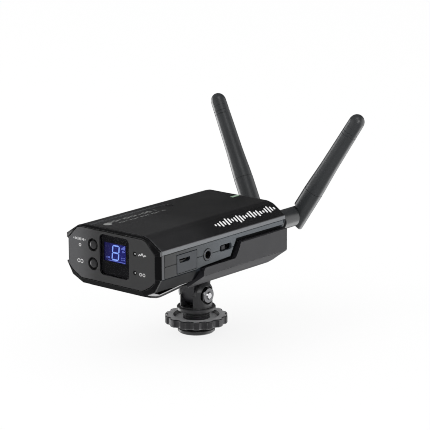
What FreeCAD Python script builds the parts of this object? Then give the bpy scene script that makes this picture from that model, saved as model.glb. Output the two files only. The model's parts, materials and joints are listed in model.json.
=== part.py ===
import FreeCAD, Part
import math
import os
from FreeCAD import Vector

os.makedirs("parts", exist_ok=True)

# A small two-antenna receiver in a slide-on cradle that tilts on a shoe mount. Millimetres.
# World frame: origin at the centre of the shoe foot's underside, +Z up, -Y the display end,
# +Y the antenna end, +X the connector side (right).
# The receiver and cradle are built in the receiver frame, with y counted back from the front
# edge of the top cover and z up from the top face, then moved into the world frame on export.

# ---------------------------------------------------------------- shared dimensions
TOP_Z = 61.75               # receiver's top face above the foot's underside
STEM_Y = 57.8               # stem axis behind the front edge of the top cover
TILT_Z = 19.1               # tilt axis above the foot's underside
TILT_DROP = TILT_Z - TOP_Z  # tilt axis in the receiver frame

HALF_W = 29.0               # half width of the receiver
TOP_FLAT = 18.2             # half width of the flat top
TOP_DROP = 5.75             # drop of the top chamfer
SEAM_TOP = -7.8             # joint between top cover and upper case
SEAM_MID = -13.4            # joint between the case halves
SEAM_LOW = -19.06           # joint between lower case and bottom cover
BODY_BOTTOM = -28.2         # underside of the receiver
COVER_FRONT = 0.35          # front face of the top and bottom covers
WRAP_Y = 24.7               # where the cradle starts to wrap the body
CASE_INNER_REAR = 86.7      # inner face of the rear wall
BODY_LEN = 88.4             # outer face of the rear wall
REAR_Y = 90.8               # rear edge of the top cover and of the rear cap
POCKET_HALF_W = 27.5        # half width between the wing pockets
GAP = 0.05                  # joint line between shells
GROOVE = 0.28               # depth of the joint-line grooves
SLOT_FRONT, SLOT_REAR = 2.05, 2.42          # upright groove behind the front frame

PILOT_R = 0.82              # bore for a small screw's shank
SCREW_R = 0.78              # small screw shank
SCREW_HEAD_R, SCREW_HEAD_H = 1.5, 0.85
CASE_SCREW_R = 1.0          # nominal radius of the case screws
CASE_SCREWS = [(-23.3, 7.0), (23.3, 7.0), (-21.4, 82.3), (21.4, 82.3)]          # (x, y)
BOARD_SCREWS = [(x, y) for x in (-21.5, 21.5) for y in (22.6, 72.0)]            # (x, y)
DISPLAY_SCREWS = [(x, z) for x in (-19.2, 19.2) for z in (-6.4, -20.0)]         # (x, z)
REAR_SCREW_X, REAR_SCREW_Z, REAR_SCREW_LOW_Z = 22.6, -16.2, -20.5
REAR_SCREWS = [(-REAR_SCREW_X, REAR_SCREW_Z), (REAR_SCREW_X, REAR_SCREW_Z),
               (0.0, REAR_SCREW_LOW_Z)]                                         # (x, z)

HOOKS = [(x, y) for x in (-11.5, 11.5) for y in (40.0, 70.0)]                   # (x, y)
HOOK_HEAD_W, HOOK_STEM_W = 6.0, 3.4
SLIDE_TRAVEL = 14.0         # receiver travel out of its keyhole hooks

PCB_TOP, PCB_BOTTOM = -14.5, -15.5
ON_BOARD = PCB_TOP + 0.02   # underside of what sits on the main board

ANTENNA_X, ANTENNA_Z = 14.9, -13.25         # antenna stub axis
BUSH_HOLE_R = 3.05

# Right halves of the (x, z) body outlines, top to bottom
TOP_OUTLINE = [(TOP_FLAT, 0), (21.6, -0.9), (HALF_W, -TOP_DROP)]
LOW_OUTLINE = [(HALF_W, -19.3), (25.6, -25.1), (19.0, BODY_BOTTOM)]
LOW_INSET_OUTLINE = [(27.5, -20.6), (24.5, -24.9), (19.0, BODY_BOTTOM)]

# ------------------------------------------------------------------- helpers
X, Y, Z = Vector(1, 0, 0), Vector(0, 1, 0), Vector(0, 0, 1)
SIDES = (-1, 1)


def box(x0, x1, y0, y1, z0, z1):
    return Part.makeBox(x1 - x0, y1 - y0, z1 - z0, Vector(x0, y0, z0))


def side_box(side, inner, outer, *bounds):
    """Box between two distances from the centre plane, on side -1 or 1."""
    x0, x1 = sorted((side * inner, side * outer))
    return box(x0, x1, *bounds)


def bar(x, width, *bounds):
    """Box centred on x."""
    return box(x - width / 2, x + width / 2, *bounds)


def cylinder(point, axis, radius, length):
    return Part.makeCylinder(radius, length, Vector(*point), axis)


def polygon(points):
    return Part.makePolygon(points + points[:1])


def prism_x(outline, x0, x1):
    """Prism along X from (y, z) points."""
    face = Part.Face(polygon([Vector(x0, y, z) for y, z in outline]))
    return face.extrude(Vector(x1 - x0, 0, 0))


def prism_y(outline, y0, y1):
    """Prism along Y from (x, z) points."""
    face = Part.Face(polygon([Vector(x, y0, z) for x, z in outline]))
    return face.extrude(Vector(0, y1 - y0, 0))


def prism_z(outline, z0, z1):
    """Prism along Z from (x, y) points."""
    face = Part.Face(polygon([Vector(x, y, z0) for x, y in outline]))
    return face.extrude(Vector(0, 0, z1 - z0))


def mirrored(right):
    """Closed (x, z) outline from its right half, listed from top to bottom."""
    return right + [(-x, z) for x, z in reversed(right)]


def revolve(profile, axis, point=(0, 0, 0)):
    """Solid of revolution from (radius, distance along axis) points."""
    base = Vector(*point)
    wire = polygon([base + X * radius + axis * distance for radius, distance in profile])
    return Part.Face(wire).revolve(base, axis, 360)


def along(edge, axis):
    """True for a straight edge parallel to the axis."""
    if len(edge.Vertexes) != 2:
        return False
    chord = edge.Vertexes[1].Point.sub(edge.Vertexes[0].Point)
    if chord.Length < 1e-6 or abs(edge.Length - chord.Length) > 1e-4:
        return False
    return abs(abs(chord.dot(axis)) / chord.Length - 1) < 1e-5


def parallel(axis):
    return lambda edge: along(edge, axis)


def start(edge):
    return edge.Vertexes[0].Point


def checked(shape):
    if not shape.isValid():
        raise RuntimeError("bad fillet or chamfer")
    return shape


def round_edges(shape, radius, wanted):
    return checked(shape.makeFillet(radius, [edge for edge in shape.Edges if wanted(edge)]))


def chamfer_edges(shape, size, wanted):
    return checked(shape.makeChamfer(size, [edge for edge in shape.Edges if wanted(edge)]))


def cut(shape, *tools):
    for tool in tools:
        shape = shape.cut(tool)
    return shape


def fuse(shape, *others):
    for other in others:
        shape = shape.fuse(other)
    return shape.removeSplitter()


def tube(points, radius):
    """Round wire through the points, with balls at the bends."""
    points = [Vector(*point) for point in points]
    wire = None
    for begin, end in zip(points, points[1:]):
        run = end.sub(begin)
        piece = Part.makeCylinder(radius, run.Length, begin, run)
        wire = piece if wire is None else wire.fuse(piece)
    for point in points[1:-1]:
        wire = wire.fuse(Part.makeSphere(radius, point))
    return wire.removeSplitter()


# ------------------------------------------------------------ receiver shell
BOSS_R = 2.5

# Cut-out in the top cover, (x, y)
SCOOP = [(-15.9, 0.0), (-15.9, 47.0), (-15.2, 50.4), (-14.2, 52.6), (-12.6, 53.8),
         (-10.8, 53.7), (-9.2, 52.2), (-1.4, 39.6), (-1.4, 0.0)]
# Space above the scooped panel's sloping floor, (x, z)
SCOOP_SLOPE = [(-17.0, -0.50), (0.0, -0.08), (0.0, 2.0), (-17.0, 2.0)]
# Wing pocket in each flank, (y, z)
POCKET = [(53.2, -9.75), (BODY_LEN + 1, -10.0), (BODY_LEN + 1, -29.5), (WRAP_Y, -29.5),
          (WRAP_Y, -18.75), (31.1, -18.2), (48.7, -17.55)]

PORT_PAD_Y, PORT_PAD_Z = (10.45, 24.8), (-18.45, -9.3)      # port panel's opening
JACK_Y, JACK_Z = 32.2, -13.5


def side_grooves(shape, *levels):
    """Shallow groove in both flanks at each joint line."""
    for z in levels:
        for side in SIDES:
            shape = shape.cut(side_box(side, HALF_W - GROOVE, HALF_W + 1,
                                       0.0, REAR_Y + 1, z - 0.17, z + 0.17))
    return shape


def front_grooves(shape):
    """Upright groove between the front frame's cheeks and the case."""
    for side in SIDES:
        shape = shape.cut(side_box(side, HALF_W - GROOVE, HALF_W + 1,
                                   SLOT_FRONT, SLOT_REAR, SEAM_LOW - 0.1, SEAM_TOP + 0.1))
    return shape


def top_cover():
    """Octagonal lid with a shallow scooped panel left of centre."""
    outer = prism_y(mirrored(TOP_OUTLINE + [(HALF_W, SEAM_TOP + GAP)]), COVER_FRONT, REAR_Y)
    outer = round_edges(outer, 6.0, lambda edge: along(edge, Y) and start(edge).z > -1)
    outer = round_edges(outer, 0.9, lambda edge: along(edge, Y)
                        and SEAM_TOP + 1 < start(edge).z < -3)
    outer = round_edges(outer, 1.2, lambda edge: edge.BoundBox.YMin > REAR_Y - 1e-3
                        and edge.BoundBox.ZMax > SEAM_TOP + 0.3)
    inner = prism_y(mirrored([(17.82, -1.6), (27.3, -6.65), (27.3, -9.0)]), 0.0, CASE_INNER_REAR)
    outer = chamfer_edges(outer, 0.32, lambda edge: edge.BoundBox.YMax < COVER_FRONT + 1e-3
                          and edge.BoundBox.ZMin > SEAM_TOP and edge.BoundBox.ZMax > -7)
    cover = outer.cut(inner)
    cover = cover.cut(prism_z(SCOOP, -1.0, 1.0).common(prism_y(SCOOP_SLOPE, -1, 60)))
    for x, y in CASE_SCREWS:
        cover = cover.fuse(cylinder((x, y, -7.7), Z, BOSS_R, 6.0).common(outer))
        cover = cover.cut(cylinder((x, y, -8.5), Z, CASE_SCREW_R + 0.02, 4.0))
    # Seat of the rear light pipe
    cover = cover.cut(box(-0.45, 1.45, 83.9, 89.0, -1.9, 1))
    return side_grooves(cover, SEAM_TOP).removeSplitter()


def rear_light_pipe():
    pipe = box(-0.4, 1.4, 83.95, 88.95, -1.55, 0.12)
    return round_edges(pipe, 0.2, lambda edge: edge.BoundBox.ZMin > 0.1)


def case_walls(z_low, z_high):
    """Four-walled band of the case; the walls are thicker behind the wing pockets."""
    return cut(box(-HALF_W, HALF_W, 2.25, BODY_LEN, z_low, z_high),
               box(-27.2, 27.2, 0, 50.0, z_low - 1, z_high + 1),
               box(-25.8, 25.8, 49.9, CASE_INNER_REAR, z_low - 1, z_high + 1))


def case_openings(case):
    """Openings of the flanks and the rear wall, shared by both case halves."""
    switch_slot = round_edges(box(25, 30, 41.0, 49.6, -14.1, -11.0), 1.2, parallel(X))
    case = cut(case,
               prism_x(POCKET, POCKET_HALF_W, 30),
               prism_x(POCKET, -30, -POCKET_HALF_W),
               box(25, 30, *PORT_PAD_Y, *PORT_PAD_Z),
               cylinder((25, JACK_Y, JACK_Z), X, 3.05, 5),
               switch_slot)
    for side in SIDES:
        case = cut(case,
                   cylinder((side * ANTENNA_X, 86, ANTENNA_Z), Y, BUSH_HOLE_R, 4),
                   cylinder((side * REAR_SCREW_X, 86, REAR_SCREW_Z), Y, PILOT_R, 4))
    return case


def case_bosses(case, z_low, z_high, hole_z):
    """Screw bosses tied to the side walls by short ribs, bored upwards from hole_z."""
    for x, y in CASE_SCREWS:
        side = 1 if x > 0 else -1
        wall = 27.0 if y < STEM_Y else 25.6
        rib = side_box(side, abs(x), wall + 0.3, y - 1.5, y + 1.5, z_low, z_high)
        boss = cylinder((x, y, z_low), Z, BOSS_R, z_high - z_low).fuse(rib)
        case = case.fuse(boss).cut(cylinder((x, y, hole_z), Z, CASE_SCREW_R + 0.05, 8))
    return case


def upper_case():
    z_low, z_high = SEAM_MID + GAP, SEAM_TOP
    case = case_bosses(case_openings(case_walls(z_low, z_high)), z_low, z_high, -14)
    return front_grooves(side_grooves(case, SEAM_TOP, SEAM_MID)).removeSplitter()


def lower_case():
    """Lower band with a deck under the main board and an opening for the battery leads."""
    z_low, z_high = SEAM_LOW + GAP, SEAM_MID
    case = case_walls(z_low, z_high)
    case = case.fuse(box(-27.3, 27.3, 5.3, 86.8, z_low, z_low + 1.2))
    case = case.cut(box(18.5, 22.5, 52, 60, z_low - 1, z_low + 3))
    case = case_bosses(case_openings(case), z_low, z_high, -20)
    for x, y in BOARD_SCREWS:
        case = case.fuse(cylinder((x, y, -18.4), Z, 2.0, PCB_BOTTOM + 18.4))
        case = case.cut(cylinder((x, y, -17.6), Z, PILOT_R, 3))
    return front_grooves(side_grooves(case, SEAM_MID, SEAM_LOW)).removeSplitter()


def bottom_cover():
    """Battery tray, stepped in where the cradle wraps it, with four keyhole slots."""
    def low_corner(edge):
        return along(edge, Y) and -28.5 < start(edge).z < -24.0

    front = prism_y(mirrored([(HALF_W, SEAM_LOW)] + LOW_OUTLINE), COVER_FRONT, WRAP_Y)
    rear = prism_y(mirrored([(POCKET_HALF_W, SEAM_LOW)] + LOW_INSET_OUTLINE), WRAP_Y, BODY_LEN)
    outer = fuse(round_edges(front, 1.6, low_corner), round_edges(rear, 1.6, low_corner))
    hollow = [(25.7, SEAM_LOW + 1), (25.7, -20.4), (23.4, -23.8), (18.6, -26.6)]
    cover = outer.cut(prism_y(mirrored(hollow), 0, CASE_INNER_REAR))
    for x, y in CASE_SCREWS:
        cover = cover.fuse(cylinder((x, y, -28), Z, 2.6, 28 + SEAM_LOW).common(outer))
        cover = cut(cover,
                    cylinder((x, y, -30), Z, CASE_SCREW_R + 0.05, 12),
                    cylinder((x, y, -30), Z, 2.05, 6.5))
    for x, y in HOOKS:
        # A narrow slot for the hook's stem ends in a wide mouth for its head
        slot_end = y + SLIDE_TRAVEL + 3
        cover = cut(cover,
                    bar(x, HOOK_STEM_W + 0.3, y - 1.7, slot_end, -29, -26),
                    bar(x, HOOK_HEAD_W + 0.4, slot_end - 5, slot_end, -29, -26))
    cover = cover.cut(cylinder((0, 86, REAR_SCREW_LOW_Z), Y, PILOT_R, 4))
    return side_grooves(cover, SEAM_LOW).removeSplitter()


def rear_cap():
    """Plate that closes the back below the top cover, round the antenna stubs."""
    def outer_edge(edge):
        bounds = edge.BoundBox
        return bounds.YMin > REAR_Y - 1e-3 and (bounds.ZMax < -8.6 or along(edge, Z))

    front = BODY_LEN + GAP
    upper = box(-HALF_W, HALF_W, front, REAR_Y, -9.3, SEAM_TOP)
    upper = round_edges(upper, 1.6, lambda edge: along(edge, Z) and start(edge).y > REAR_Y - 0.1)
    lower = prism_y(mirrored([(POCKET_HALF_W, -8.5)] + LOW_INSET_OUTLINE), front, REAR_Y)
    cap = fuse(upper, round_edges(lower, 1.2, outer_edge))
    for side in SIDES:
        cap = cut(cap,
                  cylinder((side * ANTENNA_X, 88, ANTENNA_Z), Y, BUSH_HOLE_R, 4),
                  cylinder((side * ANTENNA_X, 89.9, ANTENNA_Z), Y, 5.0, 4))
    for x, z in REAR_SCREWS:
        cap = cut(cap,
                  cylinder((x, 88, z), Y, 0.9, 4),
                  cylinder((x, 89.75, z), Y, 1.62, 4))
    return cap


def case_screws():
    screws = []
    for x, y in CASE_SCREWS:
        shank = cylinder((x, y, -23.9), Z, CASE_SCREW_R - 0.02, 18.0)
        head = cylinder((x, y, -24.9), Z, 1.9, 1.37).cut(cylinder((x, y, -25.2), Z, 0.8, 0.9))
        screws.append(fuse(shank, head))
    return Part.makeCompound(screws)


# ------------------------------------------------------------- display end
# Right halves of (x, z) outlines, top to bottom
FRAME_SEAT = [(19.3, -0.93), (21.4, -1.45), (26.8, -6.9), (26.8, -20.1), (24.0, -23.0),
              (19.0, -25.6)]
BEVEL_REAR = [(TOP_FLAT, -0.02), (21.6, -0.92), (HALF_W - 0.02, -TOP_DROP),
              (HALF_W - 0.02, -19.6), (25.9, -24.4), (19.0, BODY_BOTTOM + 0.02)]
BEVEL_FRONT = [(19.35, -0.75), (21.5, -1.3), (27.0, -6.85), (27.0, -20.2), (24.1, -23.2),
               (19.1, -25.8)]
PLATE_OUTLINE = [(19.13, -1.2), (21.2, -1.75), (26.62, -7.17), (26.74, -7.4), (26.74, -20.0),
                 (23.78, -22.72), (18.94, -25.36)]
# Material trimmed off each frame cheek, (x, y) on the right side
CHEEK_TRIM = [(26.86, -2.0), (28.4, -0.42), (28.75, 0.0), (28.95, 0.35), (HALF_W, 0.8),
              (30, 0.8), (30, -3), (26.86, -3)]

FACE_Y, FRAME_Y = -2.0, -0.8                # front of the plate, front of the frame's ring
WINDOW_X, WINDOW_Z, WINDOW_R = (-7.1, 11.2), (-21.8, -2.5), 2.3
WINDOW_GAP = 0.04
LCD_X, LCD_Z = (-5.2, 8.3), (-14.95, -6.2)  # visible area
BUTTON_X, BUTTON_Z = -11.44, (-8.65, -17.6)
LED_X, LED_Z = 14.74, (-8.55, -17.5)
SOLDER_Y = 2.88                             # rear of what sits on the display board

# (radius, distance back) profiles
BUTTON_PROFILE = [(0, 0), (1.2, 0.06), (1.9, 0.22), (2.2, 0.52), (2.25, 1.55), (3.6, 1.55),
                  (3.6, 2.05), (1.1, 2.05), (1.1, 2.35), (0, 2.35)]
PIPE_PROFILE = [(0, 0.12), (0.3, 0.16), (0.52, 0.4), (0.52, 1.02), (1.05, 1.02), (1.05, 1.27),
                (1.6, 1.27), (1.6, 1.77), (0.9, 1.77), (0.9, 3.6), (0, 3.6)]


def front_frame():
    """Octagonal ring with side cheeks and a wide bevel down to the front plate."""
    def bevel_wire(right, y):
        return polygon([Vector(x, y, z) for x, z in mirrored(right)])

    ring = prism_y(mirrored(TOP_OUTLINE + LOW_OUTLINE), FRAME_Y, 0.3)
    ring = round_edges(ring, 1.6, lambda edge: along(edge, Y) and start(edge).z < -24.0)
    for side in SIDES:
        ring = ring.fuse(side_box(side, 27.2, HALF_W, 0.3, 2.2, -19.0, SEAM_TOP))
    wires = [bevel_wire(BEVEL_REAR, FRAME_Y), bevel_wire(BEVEL_FRONT, FACE_Y)]
    ring = ring.fuse(Part.makeLoft(wires, True, True))
    opening = round_edges(box(-24.6, 24.6, -1, 1.5, -23.0, -3.6), 3.0, parallel(Y))
    ring = cut(ring, prism_y(mirrored(FRAME_SEAT), -3, -0.75), opening)
    for side in SIDES:
        ring = ring.cut(prism_z([(side * x, y) for x, y in CHEEK_TRIM], SEAM_LOW, SEAM_TOP))
    return front_grooves(ring).removeSplitter()


def front_plate():
    plate = prism_y(mirrored(PLATE_OUTLINE), FACE_Y, -0.75)
    plate = round_edges(plate, 1.2, lambda edge: along(edge, Y)
                        and abs(abs(start(edge).x) - 19.05) < 0.4)
    plate = chamfer_edges(plate, 0.12, lambda edge: edge.BoundBox.YMax < FACE_Y + 1e-3)
    plate = plate.cut(round_edges(box(*WINDOW_X, -3, 0, *WINDOW_Z), WINDOW_R, parallel(Y)))
    for z in BUTTON_Z:
        plate = plate.cut(cylinder((BUTTON_X, -3, z), Y, 3.1, 4))
    for z in LED_Z:
        plate = plate.cut(cylinder((LED_X, -3, z), Y, 1.1, 4))
    return plate


def window_sheet(y0, y1):
    """Rounded sheet that fits the front plate's window."""
    sheet = box(WINDOW_X[0] + WINDOW_GAP, WINDOW_X[1] - WINDOW_GAP, y0, y1,
                WINDOW_Z[0] + WINDOW_GAP, WINDOW_Z[1] - WINDOW_GAP)
    return round_edges(sheet, WINDOW_R - WINDOW_GAP, parallel(Y))


def display_window():
    front = FACE_Y - 0.02
    return chamfer_edges(window_sheet(front, -1.1), 0.1,
                         lambda edge: edge.BoundBox.YMax < front + 1e-3)


def window_mask():
    return window_sheet(-1.08, -0.78).cut(box(*LCD_X, -2, 0, *LCD_Z))


def lcd_block(y0, y1):
    """Box with the outline of the whole display module."""
    return box(LCD_X[0] - 1.2, LCD_X[1] + 1.2, y0, y1, LCD_Z[0] - 1.6, LCD_Z[1] + 1.2)


def lcd_glass():
    return chamfer_edges(lcd_block(-0.72, 0.5), 0.3, parallel(Y))


def lcd_backlight():
    pins = [cylinder((x, 2.2, z), Y, 0.6, 0.68) for x in (-4.6, 7.7) for z in (-15.5, -6.0)]
    return fuse(lcd_block(0.52, 2.3), *pins)


def display_board():
    board = chamfer_edges(box(-23.6, 23.6, 2.9, 3.9, -21.8, -4.4), 1.5, parallel(Y))
    return cut(board, *[cylinder((x, 2, z), Y, 0.9, 3) for x, z in DISPLAY_SCREWS])


def display_standoffs():
    return Part.makeCompound([
        cylinder((x, 0.32, z), Y, 1.7, 2.56).cut(cylinder((x, 0.2, z), Y, PILOT_R, 3))
        for x, z in DISPLAY_SCREWS])


def system_button():
    return revolve(BUTTON_PROFILE, Y, (BUTTON_X, -2.05, BUTTON_Z[0]))


def pair_button():
    return revolve(BUTTON_PROFILE, Y, (BUTTON_X, -2.05, BUTTON_Z[1]))


def tact_switches():
    switches = []
    for z in BUTTON_Z:
        body = bar(BUTTON_X, 3.2, 1.7, SOLDER_Y, z - 1.6, z + 1.6)
        body = chamfer_edges(body, 0.3, parallel(Y))
        switches.append(body.fuse(cylinder((BUTTON_X, 0.95, z), Y, 0.8, 0.8)))
    return Part.makeCompound(switches)


def button_guides():
    """Collar behind each button, on two posts from the display board."""
    guides = []
    for z in BUTTON_Z:
        guide = cylinder((BUTTON_X, 0.85, z), Y, 4.0, 0.5)
        guide = guide.cut(cylinder((BUTTON_X, 0.5, z), Y, 1.5, 1.5))
        for offset in (-3.0, 3.0):
            guide = guide.fuse(cylinder((BUTTON_X + offset, 1.3, z), Y, 0.6, 1.58))
        guides.append(guide)
    return Part.makeCompound(guides)


def led_light_pipes():
    return Part.makeCompound([revolve(PIPE_PROFILE, Y, (LED_X, -1.98, z)) for z in LED_Z])


def indicator_leds():
    return Part.makeCompound([
        chamfer_edges(bar(LED_X, 1.6, 1.75, SOLDER_Y, z - 0.5, z + 0.5), 0.1, parallel(Y))
        for z in LED_Z])


# ---------------------------------------------------------- connector side
PAD_GAP = 0.22
PAD_X = 29.12               # outer face of the port panel
JACK_BORE = 1.8
SWITCH_Y = 45.3
USB_Y, USB_Z = 16.0, -12.5
# Port slot about its centre, (y, z)
USB_SLOT = [(-3.7, 0.95), (3.7, 0.95), (3.7, -0.25), (2.9, -0.95), (-2.9, -0.95),
            (-3.7, -0.25)]


def usb_prism(x0, x1, scale_y=1.0, scale_z=1.0):
    outline = [(USB_Y + y * scale_y, USB_Z + z * scale_z) for y, z in USB_SLOT]
    return prism_x(outline, x0, x1)


def port_panel():
    panel = box(27.3, PAD_X, PORT_PAD_Y[0] + PAD_GAP, PORT_PAD_Y[1] - PAD_GAP,
                PORT_PAD_Z[0] + PAD_GAP, PORT_PAD_Z[1] - PAD_GAP)
    panel = round_edges(panel, 0.4, parallel(X))
    panel = chamfer_edges(panel, 0.15, lambda edge: edge.BoundBox.XMin > PAD_X - 0.01)
    return panel.cut(usb_prism(25, 31))


def usb_port_shell():
    shell = usb_prism(22.0, 27.1, 1.02, 1.06).cut(usb_prism(22.6, 28, 0.93, 0.78))
    return fuse(shell, box(22.0, 26.0, USB_Y - 2.6, USB_Y + 2.6, ON_BOARD, -13.30))


def usb_port_tongue():
    return box(22.65, 25.4, USB_Y - 2.3, USB_Y + 2.3, -12.45, -11.95)


def audio_jack():
    jack = cylinder((26.0, JACK_Y, JACK_Z), X, 3.0, 3.15)
    jack = chamfer_edges(jack, 0.25, lambda edge: edge.BoundBox.XMin > 29.1)
    jack = jack.fuse(box(14.6, 26.2, JACK_Y - 3.4, JACK_Y + 3.4, JACK_Z - 3.1, JACK_Z + 3.0))
    return jack.cut(cylinder((15.4, JACK_Y, JACK_Z), X, JACK_BORE, 20)).removeSplitter()


def jack_trim_ring():
    ring = cylinder((29.17, JACK_Y, JACK_Z), X, 2.75, 0.16)
    return ring.cut(cylinder((29, JACK_Y, JACK_Z), X, 2.0, 1))


def power_switch_body():
    body = box(22.2, 26.6, SWITCH_Y - 4.6, SWITCH_Y + 4.4, ON_BOARD, -10.7)
    return body.cut(box(25.2, 27, SWITCH_Y - 3.5, SWITCH_Y + 3.5, -13.6, -11.5))


def power_switch_knob():
    knob = box(25.3, 28.6, SWITCH_Y - 2.4, SWITCH_Y + 0.1, -13.5, -11.6)
    knob = chamfer_edges(knob, 0.35, lambda edge: along(edge, Z) and start(edge).x > 28)
    for offset in (-1.75, -1.15, -0.55):
        y = SWITCH_Y + offset
        knob = knob.cut(box(28.35, 29, y - 0.13, y + 0.13, -14, -11))
    return knob


# ------------------------------------------------------ main board and battery
# Chips: x0, x1, y0, y1, height above the board
CHIPS = [(-10, -3, 48, 55, 1.0), (0, 5, 50, 55, 0.9), (-12, -5, 14, 21, 1.0),
         (0, 6, 14, 18, 1.2), (8, 12, 22, 27, 1.4), (-20, -15, 30, 36, 0.9)]


def main_board():
    cut_z = (-17, -12)
    board = cut(box(-26.6, 26.6, 6.0, 82.0, PCB_BOTTOM, PCB_TOP),
                box(25.6, 30, 47.8, 90, *cut_z),
                box(-30, -25.6, 47.8, 90, *cut_z),
                box(14.4, 30, JACK_Y - 3.6, JACK_Y + 3.6, *cut_z),
                box(25.9, 30, 3, 27.2, *cut_z))
    for x, y in CASE_SCREWS:
        side = 1 if x > 0 else -1
        board = cut(board,
                    cylinder((x, y, -17), Z, 3.0, 5),
                    side_box(side, abs(x), abs(x) + 6, y - 2, y + 2, *cut_z))
    return cut(board, *[cylinder((x, y, -17), Z, 0.95, 5) for x, y in BOARD_SCREWS])


def rf_shield():
    can = chamfer_edges(box(-15, 9, 40, 66, ON_BOARD, -11.6), 0.6, parallel(Z))
    return can.cut(box(-14.7, 8.7, 40.3, 65.7, PCB_TOP - 0.5, -11.9))


def board_chips():
    return Part.makeCompound([box(x0, x1, y0, y1, ON_BOARD, PCB_TOP + height)
                              for x0, x1, y0, y1, height in CHIPS])


def board_link():
    """Connector between the display board and the main board."""
    return fuse(box(-8, 8, 3.95, 4.9, -14.2, -11.6), box(-7, 7, 4.9, 10.5, ON_BOARD, -12.4))


def battery_cell():
    return round_edges(box(-17, 17, 31, 80, -25.0, -19.5), 2.0, parallel(Y))


def battery_pad():
    return box(-6, 6, 34, 77, -26.55, -25.05)


def battery_leads():
    """Two leads from the cell's right side, forward and up through the deck."""
    leads = []
    for shift, x in ((0, 19.6), (2, 21.2)):
        leads.append(tube([(17.3, 64 + shift, -22.0), (x, 64 + shift, -22.0),
                           (x, 54 + shift, -22.0), (x, 54 + shift, -15.7)], 0.55))
    return Part.makeCompound(leads)


def small_screw(point, axis, shank_length):
    """Pan-head screw; the point is the underside of the head, the axis runs to the tip."""
    point = Vector(*point)
    shank = Part.makeCylinder(SCREW_R, shank_length, point, axis)
    head = Part.makeCylinder(SCREW_HEAD_R, SCREW_HEAD_H, point - axis * SCREW_HEAD_H, axis)
    socket = Part.makeCylinder(0.5, 0.5, point - axis * 0.9, axis)
    return shank.fuse(head).cut(socket).removeSplitter()


def small_screws():
    """Screws of the rear cap, the display board and the main board."""
    screws = [small_screw((x, 89.78, z), -Y, 2.6) for x, z in REAR_SCREWS]
    screws += [small_screw((x, 3.92, z), -Y, 3.0) for x, z in DISPLAY_SCREWS]
    screws += [small_screw((x, y, ON_BOARD), -Z, 2.6) for x, y in BOARD_SCREWS]
    return Part.makeCompound(screws)


# ------------------------------------------------------------------ antennas
# Antenna frame: origin at the hinge, x along the hinge pin, y back along the stub. The foot
# and mast are drawn straight along y and then folded up about the pin.
HINGE_Y = 119.0             # hinge, in the receiver frame
LEAN = 30.4                 # outward lean at rest, degrees
FOLD = 82.0                 # fold from the stub axis at rest, degrees
WALL_Y = BODY_LEN - HINGE_Y                 # rear wall, counted from the hinge
STUB_R = 4.8                # radius of the swivel
STUB_LEN = 8.5              # half-lap lug, from its root to the hinge
BUSH_R, BUSH_BORE = 3.0, 2.55
PIN_R, PIN_HEAD_R = 1.5, 2.0
PIN_HOLE_R = PIN_R + 0.06
LAP = 0.04                  # clearance of each lug from the hinge's middle plane
MAST_R = 4.85               # root radius
MAST_TIP_R = 3.88
MAST_LEN = 57.7             # hinge to tip
TIP_JOINT = 54.5            # hinge to the joint of sleeve and tip
# Sleeve taper: distance from the hinge, radius
TAPER = [(15.0, 4.8), (18.5, 4.73), (24.5, 4.46), (31.0, 4.23), (MAST_LEN, MAST_TIP_R)]
RING_GROOVES = (49.7, 51.4)


def antenna_base():
    """Barrel outside the wall with a threaded bush through it."""
    return revolve([(BUSH_BORE, WALL_Y - 4.5), (BUSH_R, WALL_Y - 4.5), (BUSH_R, WALL_Y + 1.52),
                    (4.7, WALL_Y + 1.52), (4.7, -19.4), (4.45, -18.95),
                    (BUSH_BORE, -18.95)], Y)


def antenna_nut():
    angles = [math.radians(60 * k + 30) for k in range(6)]
    outline = [(3.9 * math.cos(angle), 3.9 * math.sin(angle)) for angle in angles]
    nut = prism_y(outline, WALL_Y - 3.2, WALL_Y - 1.75)
    return nut.cut(cylinder((0, WALL_Y - 5, 0), Y, BUSH_R + 0.02, 5))


def antenna_swivel():
    """Spigot in the base, neck, barrel and half-lap lug with the hinge eye."""
    barrel = revolve([(0, -26.0), (2.5, -26.0), (2.5, -18.85), (3.95, -18.85), (3.95, -16.2),
                      (4.5, -16.2), (STUB_R, -15.85), (STUB_R, -8.0), (0, -8.0)], Y)

    def stub(length):
        return cylinder((0, -STUB_LEN, 0), Y, STUB_R, length)

    # The -x half runs on as a neck and an eye; the +x half stops short of the foot's tail
    far = stub(STUB_LEN).common(box(-5, -LAP, -STUB_LEN, 0, -5, 5))
    relief = fuse(cylinder((-6, 0, 0), X, 6.58, 6.5), box(-6, 0.5, -5.35, 6, -6, 6))
    neck = box(-5, -LAP, -STUB_LEN, 0, -3.9, 3.9).common(stub(STUB_LEN))
    eye = cylinder((-5, 0, 0), X, 4.12, 5 - LAP)
    eye = eye.common(cylinder((0, -6, 0), Y, STUB_R, 12))
    near = stub(STUB_LEN - 5.62).common(box(-0.2, 5, -STUB_LEN, 0, -5, 5))
    swivel = fuse(barrel, far.cut(relief), neck, eye, near)
    return cut(swivel,
               cylinder((-6, 0, 0), X, PIN_HOLE_R, 12),
               cylinder((-4.9, 0, 0), X, PIN_HEAD_R + 0.1, 1.5))


def hinge_pin():
    return fuse(cylinder((-3.9, 0, 0), X, PIN_R, 7.7),
                cylinder((-3.85, 0, 0), X, PIN_HEAD_R, 0.4))


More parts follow.
